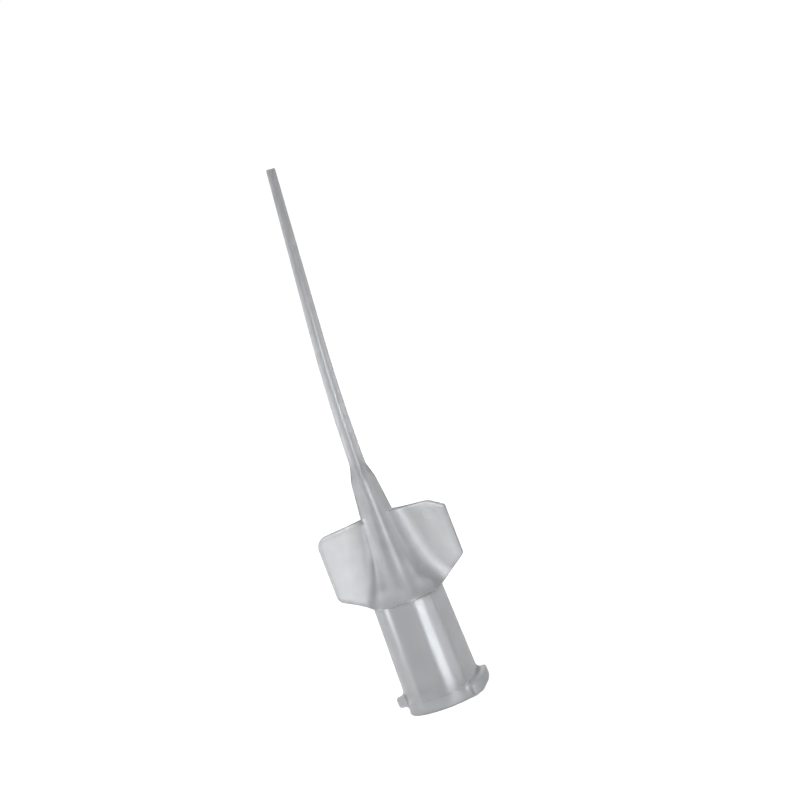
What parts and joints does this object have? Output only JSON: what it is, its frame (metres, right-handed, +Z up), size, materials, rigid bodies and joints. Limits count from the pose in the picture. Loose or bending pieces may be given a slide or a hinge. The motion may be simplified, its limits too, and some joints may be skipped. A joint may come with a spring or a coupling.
{
  "type": "endodontic irrigation needle",
  "caption": "One-piece translucent plastic irrigation tip with a Luer-lock hub, finger wings, a flared neck and a slim, slightly bent tapered needle for rinsing root canals.",
  "frame": {"origin": "centre of the hub's open end, on the end face that the part stands on", "axes": "+Z up the hub's axis from the open end towards the tip; +X towards the wing with the clipped corner, which is the side the needle bends to; the wings lie in the XZ plane"},
  "size_m": [0.011, 0.0064, 0.0455],
  "materials": {
    "natural_polypropylene": "moulded, satin, translucent"
  },
  "bodies": {
    "root": {"irrigation_needle": "natural_polypropylene"}
  },
  "joints": []
}
